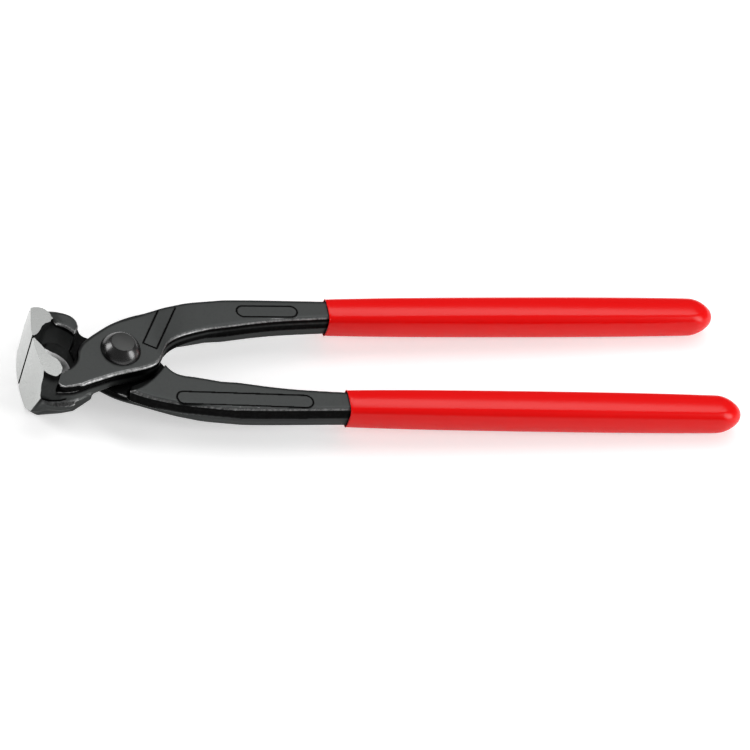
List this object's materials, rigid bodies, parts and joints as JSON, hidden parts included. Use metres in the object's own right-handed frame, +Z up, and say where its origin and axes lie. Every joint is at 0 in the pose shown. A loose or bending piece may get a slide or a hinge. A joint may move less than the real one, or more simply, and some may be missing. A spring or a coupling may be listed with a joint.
{
  "type": "rebar tying pliers",
  "caption": "Long-handled end-cutting nippers that twist and cut tie wire, with a lapped joint on one rivet and dipped plastic grips.",
  "frame": {"origin": "under the middle of the shut pliers, on the surface that the ends of their jaws lie on", "axes": "+X from the cutting edges to the grip ends, +Z up along the rivet"},
  "size_m": [0.25, 0.0556, 0.0255],
  "materials": {
    "black_steel": "drop-forged steel, satin black phosphate, with the faces of the jaws ground bright",
    "rivet_steel": "blackened and glossy",
    "red_plastic": "glossy dip coat"
  },
  "bodies": {
    "lower": {"lower_lever": "black_steel", "lower_grip": "red_plastic", "pivot_rivet": "rivet_steel"},
    "upper": {"upper_lever": "black_steel", "upper_grip": "red_plastic"}
  },
  "joints": [
    {"name": "jaw_pivot", "type": "hinge", "parent": "lower", "child": "upper", "pos_m": [-0.0936, 0, 0.01275], "axis": [0, 0, 1], "range_deg": [0, 32]}
  ]
}
